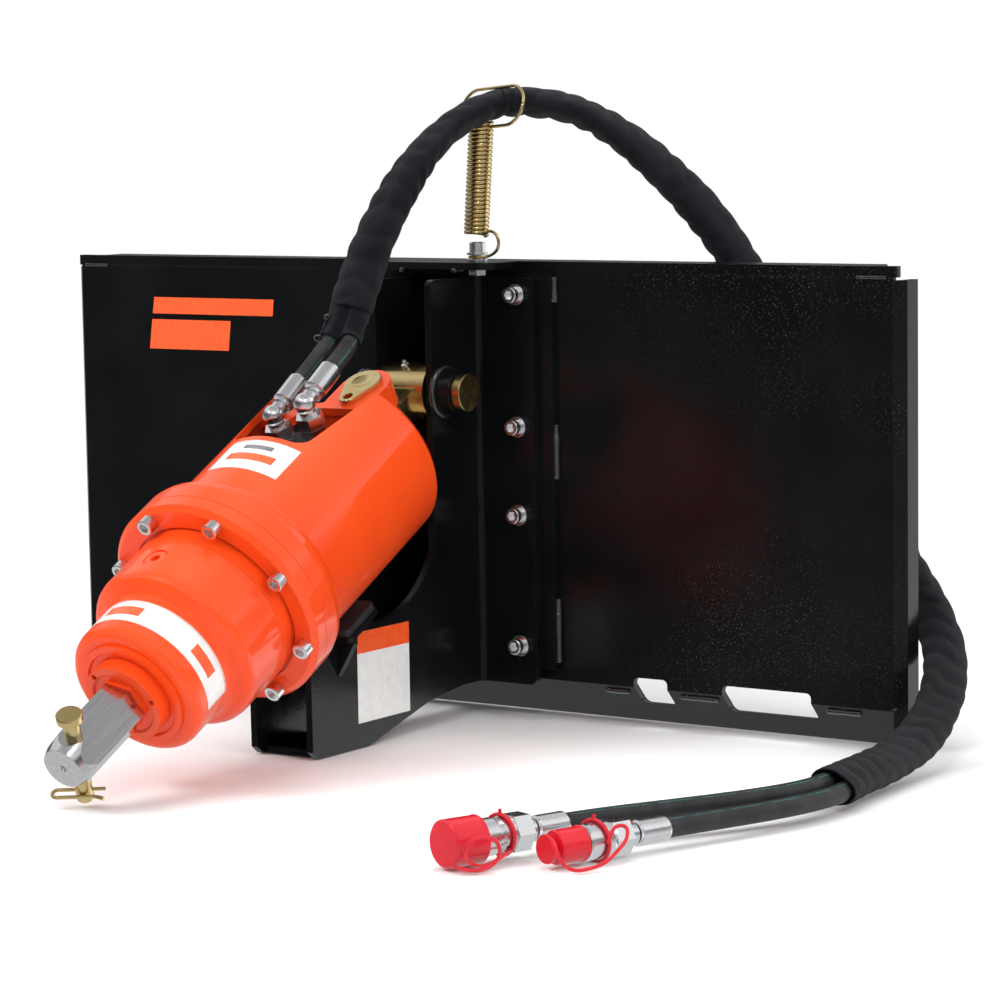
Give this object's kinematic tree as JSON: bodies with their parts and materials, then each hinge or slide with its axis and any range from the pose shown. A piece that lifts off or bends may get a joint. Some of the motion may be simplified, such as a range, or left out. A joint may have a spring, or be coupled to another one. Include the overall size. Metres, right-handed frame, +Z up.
{
  "type": "hydraulic motor",
  "caption": "Orbital hydraulic motor with planetary gearbox and hexagonal output shaft, hung by a two-pin knuckle on a quick-attach mount plate with hoses and couplers.",
  "frame": {"origin": "on the floor under the middle of the mount plate's front face", "axes": "+X along the plate, +Y through the plate towards the loader, +Z up; the motor points along -Y and down"},
  "size_m": [1.2481, 0.8563, 0.7258],
  "materials": {
    "black_paint": "gloss",
    "orange_paint": "gloss",
    "gold_zinc": "satin",
    "bright_zinc": "satin",
    "machined_steel": "brushed",
    "dark_steel": "oiled",
    "cast_iron": "matt",
    "hose_rubber": "matt",
    "pad_rubber": "matt",
    "seal_rubber": "satin",
    "sleeve_fabric": "matt",
    "red_plastic": "gloss"
  },
  "bodies": {
    "frame": {"mount_plate": "black_paint", "top_rail": "black_paint", "backing_bars": "black_paint", "side_plate_right": "black_paint", "side_plate_left": "black_paint", "top_tab": "black_paint", "bracket_screws": "bright_zinc", "bracket_washers": "bright_zinc", "spring_bolt": "bright_zinc", "hose_spring": "gold_zinc", "frame_pin": "gold_zinc", "frame_pin_ring": "dark_steel", "cradle_plates": "black_paint", "saddle_pad": "pad_rubber", "hoses": "hose_rubber", "hose_sleeve": "sleeve_fabric", "coupler_ferrules": "bright_zinc", "female_coupler": "bright_zinc", "male_coupler": "bright_zinc", "cap_tethers": "red_plastic"},
    "knuckle": {"knuckle": "gold_zinc", "knuckle_bushings": "dark_steel", "grease_fittings": "bright_zinc"},
    "drive": {"hood": "orange_paint", "flag_pin": "gold_zinc", "ring_gear": "orange_paint", "nose_housing": "orange_paint", "fill_plug": "orange_paint", "flange_screws": "bright_zinc", "bearing_cups": "machined_steel", "oil_seal": "orange_paint", "motor_front_housing": "cast_iron", "gerotor_ring": "cast_iron", "gerotor_rollers": "machined_steel", "port_cover": "cast_iron", "motor_tie_bolts": "bright_zinc", "port_adapters": "bright_zinc", "swivel_elbows": "bright_zinc", "motor_ferrules": "bright_zinc"},
    "output": {"output_shaft": "machined_steel", "planet_carrier": "cast_iron", "planet_pins": "machined_steel", "spanner_nut": "orange_paint", "bearing_cones": "machined_steel"},
    "planet_1": {"planet_gear_1": "dark_steel"},
    "planet_2": {"planet_gear_2": "dark_steel"},
    "planet_3": {"planet_gear_3": "dark_steel"},
    "motor_rotor": {"motor_shaft": "dark_steel", "disc_valve": "machined_steel"},
    "link": {"drive_link": "dark_steel"},
    "rotor": {"gerotor_rotor": "dark_steel"},
    "shaft_pin": {"shaft_pin": "gold_zinc"},
    "clip": {"r_clip": "gold_zinc"},
    "dust_cap": {"dust_cap": "red_plastic"},
    "dust_plug": {"dust_plug": "red_plastic"},
    "lock_sleeve": {"lock_sleeve": "bright_zinc"},
    "female_poppet": {"female_poppet": "machined_steel"},
    "male_poppet": {"male_poppet": "machined_steel"}
  },
  "joints": [
    {"name": "knuckle_swing", "type": "hinge", "parent": "frame", "child": "knuckle", "pos_m": [0, -0.0853, 0.3786], "axis": [-1, 0, 0], "range_deg": [0, 60], "deforming": ["hoses", "hose_sleeve"]},
    {"name": "drive_side_swing", "type": "hinge", "parent": "knuckle", "child": "drive", "pos_m": [0, -0.15392, 0.34151], "axis": [0, -0.4755, 0.8797], "range_deg": [-25, 25], "deforming": ["hoses", "hose_sleeve"]},
    {"name": "output_spin", "type": "hinge", "parent": "drive", "child": "output", "pos_m": [0, -0.54276, 0.13135], "axis": [0, -0.8797, -0.4755], "continuous": true},
    {"name": "planet_1_spin", "type": "hinge", "parent": "output", "child": "planet_1", "pos_m": [0.05063, -0.45039, 0.18128], "axis": [0, -0.8797, -0.4755], "continuous": true},
    {"name": "planet_2_spin", "type": "hinge", "parent": "output", "child": "planet_2", "pos_m": [-0.02531, -0.47123, 0.21985], "axis": [0, -0.8797, -0.4755], "continuous": true},
    {"name": "planet_3_spin", "type": "hinge", "parent": "output", "child": "planet_3", "pos_m": [-0.02531, -0.42954, 0.14271], "axis": [0, -0.8797, -0.4755], "continuous": true},
    {"name": "motor_shaft_spin", "type": "hinge", "parent": "drive", "child": "motor_rotor", "pos_m": [0, -0.4196, 0.19792], "axis": [0, -0.8797, -0.4755], "continuous": true},
    {"name": "link_orbit", "type": "hinge", "parent": "drive", "child": "link", "pos_m": [0, -0.34922, 0.23596], "axis": [0, -0.8797, -0.4755], "continuous": true},
    {"name": "rotor_spin", "type": "hinge", "parent": "link", "child": "rotor", "pos_m": [0.0035, -0.30611, 0.25926], "axis": [0, -0.8797, -0.4755], "continuous": true},
    {"name": "shaft_pin_slide", "type": "slide", "parent": "output", "child": "shaft_pin", "axis": [0.2334, -0.4623, 0.8554], "range_m": [-0.018, 0.019]},
    {"name": "clip_pull", "type": "slide", "parent": "shaft_pin", "child": "clip", "axis": [-0.8664, -0.4983, -0.0329], "range_m": [0, 0.05]},
    {"name": "dust_cap_pull", "type": "slide", "parent": "frame", "child": "dust_cap", "axis": [-0.3201, -0.9474, 0], "range_m": [0, 0.045]},
    {"name": "dust_plug_pull", "type": "slide", "parent": "frame", "child": "dust_plug", "axis": [-0.3201, -0.9474, 0], "range_m": [0, 0.045]},
    {"name": "lock_sleeve_slide", "type": "slide", "parent": "frame", "child": "lock_sleeve", "axis": [0.3201, 0.9474, 0], "range_m": [0, 0.006]},
    {"name": "female_poppet_slide", "type": "slide", "parent": "frame", "child": "female_poppet", "axis": [0.3201, 0.9474, 0], "range_m": [0, 0.004]},
    {"name": "male_poppet_slide", "type": "slide", "parent": "frame", "child": "male_poppet", "axis": [0.3201, 0.9474, 0], "range_m": [0, 0.004]}
  ],
  "couplings": [
    {"joint": "planet_1_spin", "follows": "output_spin", "ratio": -2.6667},
    {"joint": "planet_2_spin", "follows": "output_spin", "ratio": -2.6667},
    {"joint": "planet_3_spin", "follows": "output_spin", "ratio": -2.6667},
    {"joint": "motor_shaft_spin", "follows": "output_spin", "ratio": 5},
    {"joint": "link_orbit", "follows": "output_spin", "ratio": -30},
    {"joint": "rotor_spin", "follows": "output_spin", "ratio": 35}
  ]
}
